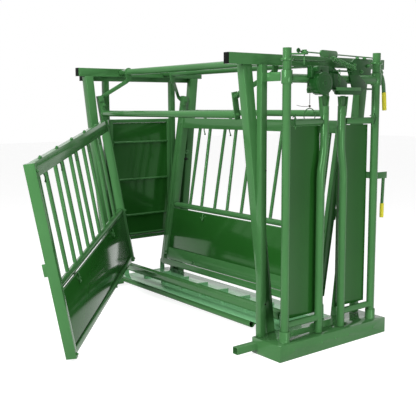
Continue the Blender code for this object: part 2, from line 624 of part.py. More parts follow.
def add_pivot_ears(at, ears, holes):
    """Fixed ears for the squeeze side's pivot pins, standing on the floor sheet."""
    centre = Vector(at.location)
    base = FLOOR_Z + FLOOR_SHEET - 0.002
    for y in (0.1980, 2.4125):
        outline = [(centre.x - 0.026, base), (centre.x + 0.026, base)]
        outline += arc((centre.x, centre.z), 0.022, 0, 180, 8)
        add_prism(ears, "y", outline, y, y + 0.0080)
        add_pipe(holes, (centre.x, y - 0.005, centre.z), (centre.x, y + 0.013, centre.z), 0.0088, None, 16)


def build_squeeze_links(name, side, squeeze):
    """The slanted flat bars from the shaft's cranks to the squeeze side, and their bolts."""
    lug = Vector((side * 0.460, 0, 1.823))
    home = to_side_frame(side, lug)
    at = pivot(f"squeeze_links_{name}_axis", home, squeeze)
    top = Vector((side * SHAFT_X, 0, SHAFT_Z - 0.070))
    run = (lug - top).normalized()
    across = Vector((run.z, 0, -run.x)) * 0.019
    length = (lug - top).length
    for place, y, lug_side in (("front", 0.2615, -1), ("rear", 2.2515, 1)):
        loops = []
        bolts = bmesh.new()
        stations = ((-0.022, 0.0), (0.030, 0.0), (length - 0.030, 0.1585), (length + 0.022, 0.1585))
        for along, depth in stations:
            centre = top + run * along + Vector((0, y + depth, 0))
            corners = [centre - across, centre + across, centre + across + Vector((0, 0.008, 0)),
                       centre - across + Vector((0, 0.008, 0))]
            loops.append([to_side_frame(side, p) for p in corners])
        lug_face = y + (0.1665 if lug_side > 0 else 0.1585)
        for centre, face, way in ((top, y + 0.008, 1), (lug, lug_face, lug_side)):
            a = centre + Vector((0, face - 0.001 * way, 0))
            b = centre + Vector((0, face + 0.009 * way, 0))
            add_pipe(bolts, to_side_frame(side, a), to_side_frame(side, b), 0.013, None, 6)
        bar = finish(one(add_ribbon, loops), f"squeeze_link_{place}_{name}", at=at)
        boolean(bar, bolts, "UNION", at)


def add_ribbon(bm, loops):
    """A bar through several loops of the same number of points."""
    rows = [[bm.verts.new(p) for p in loop] for loop in loops]
    count = len(rows[0])
    for first, second in zip(rows, rows[1:]):
        for i in range(count):
            j = (i + 1) % count
            bm.faces.new((first[i], first[j], second[j], second[i]))
    bm.faces.new(rows[0][::-1])
    bm.faces.new(rows[-1])


def build_squeeze_lever():
    home = (0.626, -0.045, 1.215)
    hinge = pivot("squeeze_lever_axis", home)
    y0, y1 = -0.0425, -0.0345
    strip = [(0.614, 1.232), (0.638, 1.232), (0.627, 0.995), (0.605, 0.995)]
    finish(one(add_prism, "y", strip, y0, y1), "squeeze_lever", at=hinge)
    mid = (y0 + y1) / 2
    finish(one(add_pipe, (0.616, mid, 0.9945), (0.615, mid, 0.884), 0.016, None, 12), "squeeze_lever_grip",
           "yellow_grip", hinge, smooth=True)


# Side gates with their drop bars and lower panels
def gate_turn(side, open_angle):
    """The gate's rest turn about its own tilted hinge line, in the flat side frame."""
    world = Vector((side * sin(GATE_AXIS_LEAN) * cos(GATE_AXIS_RAKE), sin(GATE_AXIS_RAKE),
                    cos(GATE_AXIS_LEAN) * cos(GATE_AXIS_RAKE)))
    axis = Matrix.Rotation(-side * LEAN, 3, "Y") @ world
    return axis, Quaternion(axis, side * open_angle)


def build_side_gate(name, side, squeeze, squeeze_frame):
    open_angle = GATE_OPEN if side < 0 else 0.0
    axis, turn = gate_turn(side, open_angle)
    home = Vector((side * GATE_AXIS_T, GATE_REAR + 0.010, GATE_AXIS_S))
    at = pivot(f"side_gate_{name}_axis", home, squeeze, turn)

    def slab(bm, t0, t1, y0, y1, s0, s1):
        xs = sorted((side * t0, side * t1))
        add_box(bm, (xs[0], y0, s0), (xs[1], y1, s1))

    stiles = bmesh.new()
    slab(stiles, 0, GATE_THICK, GATE_FRONT, GATE_FRONT + STILE, GATE_LOW, GATE_HIGH)
    slab(stiles, 0, GATE_THICK, GATE_REAR - STILE, GATE_REAR, GATE_LOW, GATE_HIGH)
    frame = finish(stiles, f"side_gate_frame_{name}", at=at)
    y0, y1 = GATE_FRONT + STILE - 0.004, GATE_REAR - STILE + 0.004
    top = GATE_HIGH - 0.0005
    wall = 0.005
    angle = [(INSET, TOP_RAIL_LOW), (INSET, top), (RAIL_OUT, top), (RAIL_OUT, top - wall),
             (INSET + wall, top - wall), (INSET + wall, TOP_RAIL_LOW)]
    boolean(frame, one(add_prism, "y", [(side * a, b) for a, b in angle], y0, y1), "UNION", at)
    low = bmesh.new()
    slab(low, INSET, RAIL_OUT, y0, y1, BOTTOM_RAIL_LOW, BOTTOM_RAIL_HIGH)
    boolean(frame, low, "UNION", at)
    if side > 0:
        skirt = bmesh.new()
        slab(skirt, INSET, INSET + SHEET, y0, y1, BOTTOM_RAIL_LOW - 0.053, BOTTOM_RAIL_HIGH + 0.023)
        boolean(frame, skirt, "UNION", at)
    mid_t = INSET + MID_RAIL_R
    ends = [(side * mid_t, y, MID_RAIL_S) for y in (y0, y1)]
    mid = one(add_pipe, *ends, MID_RAIL_R - 0.003, None, 16)
    boolean(frame, mid, "UNION", at)
    tab = bmesh.new()
    slab(tab, GATE_THICK - 0.002, GATE_THICK + 0.030, GATE_FRONT + 0.014, GATE_FRONT + 0.022, 0.880, 0.970)
    boolean(frame, tab, "UNION", at)
    boolean(frame, build_drop_bars(name, side, at, mid_t), "UNION", at)
    for hinge_part in build_drop_panel(name, side, at):
        boolean(frame, hinge_part, "UNION", at)
    gate_knuckles, frame_knuckles = gate_hinges(side, axis)
    boolean(frame, gate_knuckles, "UNION", at)
    boolean(squeeze_frame, frame_knuckles, "UNION", squeeze)


def build_drop_bars(name, side, gate, mid_t):
    """Inverted U bars that fold outward about the gate's middle rail; returns the gate's bar pins."""
    low, high = MID_RAIL_S + MID_RAIL_R - 0.003 + 0.002, 1.625
    pins = bmesh.new()
    for k in range(BAR_COUNT):
        y = GATE_REAR - BAR_FIRST - BAR_STEP * k
        at = pivot(f"drop_bar_{name}_{k + 1}_axis", (side * mid_t, y, MID_RAIL_S), gate)
        wide, narrow, bend = 0.092, 0.080, 0.050
        crown = arc((narrow - bend, high - bend), bend, 8, 90, 4)
        half = [(wide, low)] + crown
        path = half + [(-a, b) for a, b in half[::-1]]
        bm = one(add_bent_rod, [(side * mid_t, y + a, b) for a, b in path], BAR_R, 12)
        finish(bm, f"drop_bar_{name}_{k + 1}", at=at, smooth=True)
        foot, head = [(side * 0.030, y, GATE_HIGH + rise) for rise in (-0.002, 0.014)]
        add_pipe(pins, foot, head, 0.010, None, 8)
    return pins


def build_drop_panel(name, side, gate):
    """The solid lower panel, hinged at its foot, with its latches; returns the gate's hinge barrels."""
    at = pivot(f"drop_panel_{name}_axis", (side * PANEL_AXIS_T, 0, PANEL_AXIS_S), gate)
    y0, y1 = GATE_FRONT + STILE + 0.003, GATE_REAR - STILE - 0.003
    face, foot, lip = 0.020, PANEL_AXIS_T + 0.002, 0.045
    skin = [(foot, PANEL_LOW), (face, PANEL_LOW), (face, PANEL_HIGH), (lip, PANEL_HIGH),
            (lip, PANEL_HIGH - SHEET), (face + SHEET, PANEL_HIGH - SHEET),
            (face + SHEET, PANEL_LOW + SHEET), (foot, PANEL_LOW + SHEET)]
    outline = [(side * a, b) for a, b in skin]
    panel = finish(one(add_prism, "y", outline, y0, y1), f"drop_panel_{name}", "green_paint", at)
    barrels, ears, latches = bmesh.new(), bmesh.new(), bmesh.new()
    for from_rear, latch in ((0.500, 0.530), (1.660, 1.670)):
        y = GATE_REAR - from_rear
        ends = [(side * PANEL_AXIS_T, y + along, PANEL_AXIS_S) for along in (-0.035, 0.035)]
        add_pipe(barrels, *ends, 0.0090, None, 10)
        xs = sorted((side * (RAIL_OUT - 0.002), side * (PANEL_AXIS_T + 0.001)))
        add_box(ears, (xs[0], y - 0.034, BOTTOM_RAIL_HIGH - 0.012), (xs[1], y + 0.034, PANEL_AXIS_S - 0.003))
        y = GATE_REAR - latch
        xs = sorted((side * 0.0235, side * 0.044))
        add_box(latches, (xs[0], y - 0.030, PANEL_HIGH - 0.001), (xs[1], y + 0.030, PANEL_HIGH + 0.008))
    boolean(panel, latches, "UNION", at)
    return barrels, ears


def gate_hinges(side, axis):
    """Keyhole knuckles: the upper one of each pair is the gate's, the lower one the squeeze frame's."""
    gate_part, frame_part = bmesh.new(), bmesh.new()
    for height in (0.450, 1.450):
        rise = height - GATE_AXIS_S
        centre = Vector((side * GATE_AXIS_T, GATE_REAR + 0.010, GATE_AXIS_S)) + axis * (rise / axis.z)
        x, y = centre.x, centre.y
        knuckle, plate = 0.0115, 0.005
        leaf = keyhole(side, x, y, knuckle, GATE_THICK - 0.001, GATE_REAR - 0.034, plate + 0.001)
        add_prism(gate_part, "z", leaf, height + 0.002, height + 0.062)
        leaf = keyhole(side, x, y, knuckle, 0.063, 2.4005, plate + 0.008)
        add_prism(frame_part, "z", leaf, height - 0.060, height)
    return gate_part, frame_part


def keyhole(side, x, y, radius, plate_t, plate_end_y, plate):
    """A round knuckle with a flat leaf beside it, as an outline in (x, y)."""
    out = side * x
    towards = 1 if plate_end_y > y else -1
    join_t = max(plate_t, out - radius)
    start = atan2(0.6, 1.0)
    turn = [start + (2 * pi - 2 * start) * i / 12 for i in range(13)]
    circle = [(out + radius * sin(a) * -1, y + towards * radius * cos(a)) for a in turn]
    low, high = (plate_t, plate_t + plate)
    leaf = [(high, plate_end_y), (low, plate_end_y)]
    first, last = circle[0], circle[-1]
    points = circle + (leaf if last[0] > first[0] else leaf[::-1])
    return [(side * max(a, min(plate_t, join_t)), b) for a, b in points]


# Tail gate
def build_tail_gate():
    x0 = -(TAIL_POST_X - SQUARE / 2) + 0.004
    x1 = TAIL_POST_X - SQUARE / 2 - 0.004
    rear = TAIL_Y + SQUARE
    axis_x, axis_y = -(TAIL_POST_X - SQUARE / 2) - 0.006, rear + 0.012
    at = pivot("tail_gate_axis", (axis_x, axis_y, 0))
    low, high = 0.440, 1.627
    y0, y1 = TAIL_Y + 0.010, TAIL_Y + 0.045
    tube = 0.035
    uprights = bmesh.new()
    add_box(uprights, (x0, y0, low), (x0 + tube, y1, high))
    add_box(uprights, (x1 - tube, y0, low), (x1, y1, high))
    frame = finish(uprights, "tail_gate_frame", at=at)
    rails = bmesh.new()
    for z in (low + tube / 2 + 0.0005, high - tube / 2 - 0.0005):
        add_box(rails, (x0 + 0.002, y0 + 0.0005, z - tube / 2), (x1 - 0.002, y1 - 0.0005, z + tube / 2))
    boolean(frame, rails, "UNION", at)
    reach = 0.0015
    sheet = one(add_box, (x0 + tube + reach, y0 + 0.014, low + tube + reach),
                (x1 - tube - reach, y0 + 0.017, high - tube - reach))
    sheet = finish(sheet, "tail_gate_sheet", "dark_paint", at)
    ribs = bmesh.new()
    for z in (0.495, 0.685, 1.040, 1.404):
        add_box(ribs, (x0 + tube + 0.003, y0, z - 0.012), (x1 - tube - 0.003, y0 + 0.015, z + 0.012))
    boolean(sheet, ribs, "UNION", at)
    knuckles, straps = bmesh.new(), bmesh.new()
    for z in TAIL_HINGES_Z:
        add_pipe(knuckles, (axis_x, axis_y, z + 0.001), (axis_x, axis_y, z + 0.051), 0.0105, None, 12)
        add_prism(straps, "z", [(axis_x, axis_y + 0.006), (axis_x, axis_y - 0.0055), (x0 + 0.004, y1 - 0.001),
                                (x0 + 0.030, y1 - 0.001), (x0 + 0.030, y1 + 0.006), (x0 + 0.010, y1 + 0.010)],
                  z + 0.006, z + 0.046)
    boolean(frame, knuckles, "UNION", at)
    boolean(frame, straps, "UNION", at)
    build_tail_latch(at, x1, y1)


def tail_fittings():
    """The tail gate's hinge knuckles and its latch keeper, on the posts' rear faces."""
    rear = TAIL_Y + SQUARE
    inner = TAIL_POST_X - SQUARE / 2
    axis_x, axis_y = -inner - 0.006, rear + 0.012
    knuckles, plates = bmesh.new(), bmesh.new()
    for z in TAIL_HINGES_Z:
        add_pipe(knuckles, (axis_x, axis_y, z - 0.051), (axis_x, axis_y, z - 0.001), 0.0105, None, 12)
        add_box(plates, (axis_x - 0.036, rear - 0.002, z - 0.046), (axis_x, rear + 0.007, z - 0.006))
    z = TAIL_LATCH_Z
    add_box(plates, (inner + 0.006, rear - 0.002, z - 0.020), (inner + 0.044, rear + 0.030, z - 0.0135))
    return knuckles, plates


def build_tail_latch(gate, x1, y1):
    """A turning handle at the gate's free edge whose tongue drops behind the right post's keeper."""
    home = (x1 - 0.018, y1 + 0.006, TAIL_LATCH_Z)
    at = pivot("tail_latch_axis", home, gate)
    x, y, z = home
    bar = [(x - 0.016, z - 0.012), (x + 0.075, z - 0.012), (x + 0.075, z + 0.012), (x - 0.016, z + 0.012)]
    handle = finish(one(add_prism, "y", bar, y1 + 0.012, y1 + 0.018), "tail_latch_handle", at=at)
    boolean(handle, one(add_pipe, (x, y1 + GAP, z), (x, y1 + 0.0185, z), 0.014, None, 12), "UNION", at)
    knob = one(add_pipe, (x + 0.062, y1 + 0.017, z), (x + 0.062, y1 + 0.050, z), 0.013, None, 12)
    boolean(handle, knob, "UNION", at)


# Assembly
PIVOT_DOORS, TIPS = {}, {}
build_base()
build_headgate_frame()
build_overhead()
build_tail_frame()
floor_deck = build_floor()
for side_name, side_sign in SIDES:
    PIVOT_DOORS[side_name], TIPS[side_name] = build_door(side_name, side_sign)
build_tie_rod(TIPS["left"], TIPS["right"])
build_headgate_lever()
build_mechanism()
build_cord()
build_pull_cord()
pivot_ears, pivot_holes = bmesh.new(), bmesh.new()
for side_name, side_sign in SIDES:
    build_squeeze_shaft(side_name, side_sign)
    build_squeeze_side(side_name, side_sign, pivot_ears, pivot_holes)
boolean(floor_deck, pivot_ears, "UNION")
boolean(floor_deck, pivot_holes, "DIFFERENCE")
build_squeeze_lever()
build_tail_gate()
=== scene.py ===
"""Dressed model of the squeeze crush for cattle: finishes, rounded steel, welds, bolts, latch gear and cord.

Units are metres in the frame of the solids: +Z up, and the animal walks out towards -Y.
"""
import json
from math import cos, pi, radians, sin

import bpy
from mathutils import Matrix, Quaternion, Vector

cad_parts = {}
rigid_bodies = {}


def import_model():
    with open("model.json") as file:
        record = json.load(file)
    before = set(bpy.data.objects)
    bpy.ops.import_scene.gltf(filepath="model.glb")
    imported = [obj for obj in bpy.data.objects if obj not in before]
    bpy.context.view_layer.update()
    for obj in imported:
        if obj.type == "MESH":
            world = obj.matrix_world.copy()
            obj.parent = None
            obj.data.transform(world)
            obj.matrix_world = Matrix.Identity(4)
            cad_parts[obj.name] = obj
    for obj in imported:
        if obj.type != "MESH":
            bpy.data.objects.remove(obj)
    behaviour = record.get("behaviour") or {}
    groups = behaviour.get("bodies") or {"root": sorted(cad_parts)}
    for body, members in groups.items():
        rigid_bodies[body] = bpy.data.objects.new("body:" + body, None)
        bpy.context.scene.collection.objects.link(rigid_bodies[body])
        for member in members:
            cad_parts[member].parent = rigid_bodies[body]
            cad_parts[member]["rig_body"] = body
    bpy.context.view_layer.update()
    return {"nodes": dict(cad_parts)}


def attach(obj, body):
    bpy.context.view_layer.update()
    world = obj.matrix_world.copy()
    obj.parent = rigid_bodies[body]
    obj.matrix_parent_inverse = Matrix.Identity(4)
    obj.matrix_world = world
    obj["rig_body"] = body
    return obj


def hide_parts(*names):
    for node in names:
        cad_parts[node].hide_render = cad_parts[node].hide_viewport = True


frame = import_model()

# Driving sizes, as in the solids
SIDES = (("left", -1), ("right", 1))
LEAN, PLANE_X = radians(9.35), 0.142
GATE_FRONT, GATE_REAR, GATE_HIGH = 0.2185, 2.336, 1.656
GATE_AXIS_T, GATE_AXIS_S, GATE_OPEN = 0.090, 0.950, radians(43.6)
GATE_AXIS_LEAN, GATE_AXIS_RAKE = radians(8.77), radians(1.6)
BAR_FIRST, BAR_STEP, BAR_COUNT = 0.365, 0.385, 5
MID_RAIL_T, MID_RAIL_S, PANEL_EDGE_S = 0.043, 0.785, 0.7465
POST_X, POST_Y, PAN_TOP, POST_TOP = 0.457, -0.079, 0.115, 2.128
STANCHION_X, DRUM_X, DRUM_Z = 0.118, -0.205, 1.897
PULLEY = Vector((-0.178, -0.020))

# Sizes of added details
RIB_HEIGHTS, RIB_HALF_X, RIB_Y, WELD_COUNT = (0.495, 0.685, 1.040, 1.404), 0.308, 2.4440, 7
TUBE_EDGE, SHEET_EDGE, THIN_EDGE = 0.0022, 0.0007, 0.0006
CHAIN_TOP, CHAIN_PITCH, CHAIN_LINKS = 1.985, 0.0155, 7

# Camera fitted to the photo: picture and focal length in pixels, sensor in millimetres, eye in metres
PICTURE, FOCAL, SENSOR = 416, 717.86, 36
YAW, PITCH, ROLL = radians(37.824), radians(8.084), radians(-0.315)
EYE = (-3.841, -3.576, 1.749)


# Tools for modelling by hand
def select_only(*objects):
    bpy.ops.object.select_all(action="DESELECT")
    for obj in objects:
        obj.select_set(True)
    bpy.context.view_layer.objects.active = objects[0]


def settle(obj):
    """Put the object's place into its mesh."""
    select_only(obj)
    bpy.ops.object.transform_apply(location=True, rotation=True, scale=True)
    return obj


def add_bevel(obj, width, segments=2, angle=35):
    modifier = obj.modifiers.new("round", "BEVEL")
    modifier.width = width
    modifier.segments = segments
    modifier.limit_method = "ANGLE"
    modifier.angle_limit = radians(angle)
    modifier.harden_normals = False
    select_only(obj)
    bpy.ops.object.modifier_apply(modifier=modifier.name)


def smooth(obj, angle=38):
    select_only(obj)
    bpy.ops.object.shade_smooth_by_angle(angle=radians(angle))


def wear(obj, name, material, body):
    """Name a finished piece, paint it and let it ride on its body."""
    obj.name = name
    obj.data.name = name
    obj.data.materials.clear()
    obj.data.materials.append(material)
    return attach(obj, body)


def join(objects):
    select_only(*objects)
    if len(objects) > 1:
        bpy.ops.object.join()
    return bpy.context.view_layer.objects.active


def aimed(direction):
    return Vector(direction).to_track_quat("Z", "Y").to_euler()


def rod(a, b, radius, sides=24, bevel=0.0):
    """A round bar from a to b, with its end edges broken."""
    a, b = Vector(a), Vector(b)
    bpy.ops.object.select_all(action="DESELECT")
    bpy.ops.mesh.primitive_cylinder_add(vertices=sides, radius=radius, depth=(b - a).length,
                                        location=(a + b) / 2, rotation=aimed(b - a))
    obj = settle(bpy.context.object)
    if bevel:
        add_bevel(obj, bevel, 2, 50)
    smooth(obj)
    return obj


# Camera
def place_camera():
    forward = Vector((sin(YAW) * cos(PITCH), cos(YAW) * cos(PITCH), -sin(PITCH)))
    flat = Vector((cos(YAW), -sin(YAW), 0))
    up = flat.cross(forward)
    right = cos(ROLL) * flat + sin(ROLL) * up
    top = cos(ROLL) * up - sin(ROLL) * flat
    data = bpy.data.cameras.new("photo_camera")
    data.sensor_width = SENSOR
    data.lens = SENSOR * FOCAL / PICTURE
    data.clip_end = 60
    camera = bpy.data.objects.new("photo_camera", data)
    bpy.context.scene.collection.objects.link(camera)
    turn = Matrix((right, top, -forward)).transposed()
    camera.matrix_world = Matrix.Translation(EYE) @ turn.to_4x4()
    bpy.context.scene.camera = camera


# Finishes
def new_group(name, inputs, outputs):
    group = bpy.data.node_groups.new(name, "ShaderNodeTree")
    for label, kind, value in inputs:
        socket = group.interface.new_socket(name=label, in_out="INPUT", socket_type=kind)
        socket.default_value = value
    for label, kind in outputs:
        group.interface.new_socket(name=label, in_out="OUTPUT", socket_type=kind)
    return group, group.nodes.new("NodeGroupInput"), group.nodes.new("NodeGroupOutput")


def compute(tree, operation, *values):
    """A math node fed with numbers or with other nodes' outputs; returns its result."""
    node = tree.nodes.new("ShaderNodeMath")
    node.operation = operation
    for socket, value in zip(node.inputs, values):
        if isinstance(value, float):
            socket.default_value = value
        else:
            tree.links.new(value, socket)
    return node.outputs[0]


def add_noise(tree, place, scale, detail):
    noise = tree.nodes.new("ShaderNodeTexNoise")
    noise.inputs["Scale"].default_value = scale
    noise.inputs["Detail"].default_value = detail
    tree.links.new(place.outputs["Object"], noise.inputs["Vector"])
    return noise.outputs["Fac"]


def remap(tree, value, low, high):
    """A map range node that takes low to 0 and high to 1."""
    node = tree.nodes.new("ShaderNodeMapRange")
    node.inputs["From Min"].default_value = low
    node.inputs["From Max"].default_value = high
    tree.links.new(value, node.inputs["Value"])
    return node


def build_coat_group():
    """Sprayed paint: slow colour drift, a little dust low down, and orange peel."""
    tree, given, made = new_group(
        "sprayed_coat",
        (("Paint", "NodeSocketColor", (0.1, 0.3, 0.1, 1)), ("Drift", "NodeSocketFloat", 0.12),
         ("Dust", "NodeSocketFloat", 0.15), ("Gloss", "NodeSocketFloat", 0.25),
         ("Peel", "NodeSocketFloat", 1.0)),
        (("Color", "NodeSocketColor"), ("Roughness", "NodeSocketFloat"), ("Height", "NodeSocketFloat")))
    nodes, links = tree.nodes, tree.links
    place = nodes.new("ShaderNodeTexCoord")

    drift = remap(tree, add_noise(tree, place, 2.3, 5), 0.3, 0.7)
    links.new(compute(tree, "SUBTRACT", 1.0, given.outputs["Drift"]), drift.inputs["To Min"])
    links.new(compute(tree, "ADD", 1.0, given.outputs["Drift"]), drift.inputs["To Max"])
    tint = nodes.new("ShaderNodeVectorMath")
    tint.operation = "SCALE"
    links.new(given.outputs["Paint"], tint.inputs[0])
    links.new(drift.outputs["Result"], tint.inputs["Scale"])

    split = nodes.new("ShaderNodeSeparateXYZ")
    links.new(place.outputs["Object"], split.inputs[0])
    low = remap(tree, split.outputs["Z"], 0.0, 0.35)
    low.inputs["To Min"].default_value = 1.0
    low.inputs["To Max"].default_value = 0.0
    grit = add_noise(tree, place, 38, 6)
    patch = remap(tree, grit, 0.45, 0.75)
    dust = compute(tree, "MULTIPLY", low.outputs["Result"], patch.outputs["Result"])
    amount = compute(tree, "MULTIPLY", dust, given.outputs["Dust"])
    mix = nodes.new("ShaderNodeMix")
    mix.data_type = "RGBA"
    mix.inputs["B"].default_value = (0.30, 0.27, 0.20, 1)
    links.new(amount, mix.inputs["Factor"])
    links.new(tint.outputs[0], mix.inputs["A"])
    links.new(mix.outputs["Result"], made.inputs["Color"])

    rough = compute(tree, "MULTIPLY_ADD", grit, 0.04, given.outputs["Gloss"])
    links.new(compute(tree, "MULTIPLY_ADD", amount, 0.5, rough), made.inputs["Roughness"])
    peel = add_noise(tree, place, 160, 2)
    links.new(compute(tree, "MULTIPLY", peel, given.outputs["Peel"]), made.inputs["Height"])
    return tree


def build_finish(name, colour, gloss, drift=0.12, dust=0.15, peel=1.0, bump=0.00008):
    """A material whose colour, gloss and bump come from the sprayed coat group."""
    material = bpy.data.materials.new(name)
    material.use_nodes = True
    nodes, links = material.node_tree.nodes, material.node_tree.links
    shader = nodes["Principled BSDF"]
    coat_node = nodes.new("ShaderNodeGroup")
    coat_node.node_tree = COAT
    coat_node.inputs["Paint"].default_value = (*colour, 1)
    for label, value in (("Drift", drift), ("Dust", dust), ("Gloss", gloss), ("Peel", peel)):
        coat_node.inputs[label].default_value = value
    links.new(coat_node.outputs["Color"], shader.inputs["Base Color"])
    links.new(coat_node.outputs["Roughness"], shader.inputs["Roughness"])
    ripple = nodes.new("ShaderNodeBump")
    ripple.inputs["Strength"].default_value = 0.25
    ripple.inputs["Distance"].default_value = bump
    links.new(coat_node.outputs["Height"], ripple.inputs["Height"])
    links.new(ripple.outputs["Normal"], shader.inputs["Normal"])
    shader.inputs["Specular IOR Level"].default_value = 0.34
    shader.inputs["Specular Tint"].default_value = (0.50, 1.0, 0.52, 1)
    material.diffuse_color = (*colour, 1)
    return material


COAT = build_coat_group()
GREEN = build_finish("green_paint", (0.060, 0.190, 0.060), 0.11, drift=0.08, dust=0.05, peel=0.5)
# The sheets get a darker copy of the green paint: painted shade for panels that face away from the light.
SHADED_SHEET_GREEN = build_finish("green_sheet_painted_shade", (0.018, 0.105, 0.016), 0.11, drift=0.08, dust=0.03, peel=0.4)
# The deck gets a pale copy of the green paint: a painted reflection of the white surroundings on its top.
DECK_PAINTED_REFLECTION = build_finish("green_deck_painted_reflection", (0.200, 0.480, 0.240), 0.10, drift=0.06, dust=0.0, peel=0.1)
# Black for the plastic caps and the knob, and also painted shade in the holes.
BLACK_PLASTIC_AND_HOLE_SHADE = build_finish("black_plastic_and_hole_shade", (0.006, 0.006, 0.006), 0.45, drift=0.2, peel=2.0, dust=0.0)
BLACK_PLASTIC_AND_HOLE_SHADE.node_tree.nodes["Principled BSDF"].inputs["Specular IOR Level"].default_value = 0.08
YELLOW = build_finish("yellow_vinyl", (1.0, 0.92, 0.06), 0.42, drift=0.02, dust=0.0, peel=1.0)
YELLOW.node_tree.nodes["Principled BSDF"].inputs["Specular Tint"].default_value = (1, 1, 1, 1)
CORD = build_finish("dark_cord", (0.030, 0.018, 0.012), 0.75, drift=0.4, dust=0.0, peel=6.0, bump=0.0004)
# A darker copy of the green paint: painted shade on the drum, bracket, slot plates, hooks, clips, ribs, rims,
# rods and roller.
SHADED_GREEN = build_finish("green_painted_shade", (0.012, 0.070, 0.014), 0.16, drift=0.2)


# The solids, with rounded edges
def round_off(node, material, width, fatten=0.0):
    """Copy a solid, clean its flats, swell it by fatten, break its edges and put it in the solid's place."""
    source = frame["nodes"][node]
    piece = bpy.data.objects.new(f"dressed_{node}", source.data.copy())
    bpy.context.scene.collection.objects.link(piece)
    select_only(piece)
    bpy.ops.object.mode_set(mode="EDIT")
    bpy.ops.mesh.select_all(action="SELECT")
    bpy.ops.mesh.remove_doubles(threshold=0.00004)
    bpy.ops.mesh.dissolve_limited(angle_limit=radians(0.6))
    if fatten:
        bpy.ops.transform.shrink_fatten(value=fatten)
    bpy.ops.object.mode_set(mode="OBJECT")
    if width:
        add_bevel(piece, width)
    smooth(piece)
    wear(piece, f"dressed_{node}", material, source["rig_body"])
    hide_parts(node)
    return piece


SHEETS = ("door_panel_left", "door_panel_right", "drop_panel_left", "drop_panel_right", "tail_gate_sheet")
THIN = ("pull_ring", "headgate_tie_rod", "cord_pulley", "tail_latch_handle")
CORD_NODES = ("pull_cord", "pull_cord_tail", "pull_cord_knot")


def dress_solids():
    for node in sorted(frame["nodes"]):
        if node in CORD_NODES:
            continue
        if "cap" in node:
            round_off(node, BLACK_PLASTIC_AND_HOLE_SHADE, 0.0015)
        elif "grip" in node:
            round_off(node, YELLOW, 0.0030)
        # The deck in the pale green of painted reflection.
        elif node == "floor_deck":
            round_off(node, DECK_PAINTED_REFLECTION, SHEET_EDGE)
        # Sheets in the darker copy of the green paint: painted shade.
        elif node in SHEETS:
            round_off(node, SHADED_SHEET_GREEN, SHEET_EDGE)
        elif node.startswith("drop_bar"):
            round_off(node, GREEN, 0.0, fatten=0.0022)
        elif node in ("headgate_lever", "squeeze_lever"):
            round_off(node, GREEN, 0.0010, fatten=0.0032)
        elif node in THIN:
            round_off(node, GREEN, THIN_EDGE)
        # Drum and bracket in the darker green of painted shade.
        elif node == "latch_drum":
            round_off(node, SHADED_GREEN, 0.0150)
        elif node == "mechanism_bracket":
            round_off(node, SHADED_GREEN, 0.0012)
        else:
            round_off(node, GREEN, TUBE_EDGE)


# Pull cord
def dress_cord():
    """The cord from the pulley to its knot, the knot, and the loose tail beyond it."""
    x, y = PULLEY
    top, knot_top, knot_z = 1.8325, 1.7545, 1.744
    drop = [(x + 0.0006 * sin(pi * i / 8), y, top + (knot_top - top) * i / 8) for i in range(9)]
    sag = ((0.0104, 0.0005), (0.030, -0.0015), (0.055, -0.0020),
           (0.080, -0.0005), (0.105, 0.0030), (0.128, 0.0080))
    tail = [(x - out, y, knot_z + rise) for out, rise in sag]
    for name, route, radius in (("pull_cord", drop, 0.0022), ("pull_cord_tail", tail, 0.0016)):
        curve = bpy.data.curves.new("dressed_" + name, "CURVE")
        curve.dimensions = "3D"
        curve.bevel_depth = radius
        curve.bevel_resolution = 4
        curve.use_fill_caps = True
        spline = curve.splines.new("POLY")
        spline.points.add(len(route) - 1)
        for point, where in zip(spline.points, route):
            point.co = (*where, 1)
        obj = bpy.data.objects.new("dressed_" + name, curve)
        bpy.context.scene.collection.objects.link(obj)
        wear(obj, "dressed_" + name, CORD, "frame")
        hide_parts(name)
    bpy.ops.object.select_all(action="DESELECT")
    bpy.ops.mesh.primitive_torus_add(major_radius=0.0055, minor_radius=0.0042, major_segments=24,
                                     minor_segments=12, location=(x, y, knot_z),
                                     rotation=(radians(70), 0, radians(15)))
    knot = settle(bpy.context.object)
    bpy.ops.object.select_all(action="DESELECT")
    bpy.ops.mesh.primitive_uv_sphere_add(segments=20, ring_count=12, radius=0.0078,
                                         location=(x, y, knot_z + 0.0012))
    heart = settle(bpy.context.object)
    knot = join([knot, heart])
    smooth(knot, 60)
    wear(knot, "cord_knot", CORD, "frame")
    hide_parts("pull_cord_knot")


# Small hardware
def ball(where, radius, squash=(1, 1, 1)):
    bpy.ops.object.select_all(action="DESELECT")
    bpy.ops.mesh.primitive_uv_sphere_add(segments=16, ring_count=10, radius=radius, location=where)
    obj = bpy.context.object
    obj.scale = squash
    settle(obj)
    smooth(obj, 60)
    return obj


def ring(where, axis, radius, thickness):
    bpy.ops.object.select_all(action="DESELECT")
    bpy.ops.mesh.primitive_torus_add(location=where, rotation=aimed(axis), major_radius=radius,
                                     minor_radius=thickness, major_segments=28, minor_segments=8)
    obj = settle(bpy.context.object)
    smooth(obj, 60)
    return obj


def build_bolt():
    """A hexagon head with its washer and the end of the thread, standing on the origin along +Z."""
    washer = rod((0, 0, 0), (0, 0, 0.0022), 0.0125, 24, 0.0005)
    head = rod((0, 0, 0.0020), (0, 0, 0.0092), 0.0098, 6, 0.0010)
    thread = rod((0, 0, 0.0085), (0, 0, 0.0140), 0.0042, 16, 0.0007)
    return join([washer, head, thread])


def bolt_at(where, axis, grow=1.0):
    """A copy of the bolt with a mesh of its own, standing on a point along an axis."""
    obj = bpy.data.objects.new("bolt", BOLT.data.copy())
    bpy.context.scene.collection.objects.link(obj)
    turn = Vector(axis).to_track_quat("Z", "Y").to_matrix().to_4x4()
    obj.data.transform(Matrix.Translation(where) @ turn @ Matrix.Scale(grow, 4))
    return obj


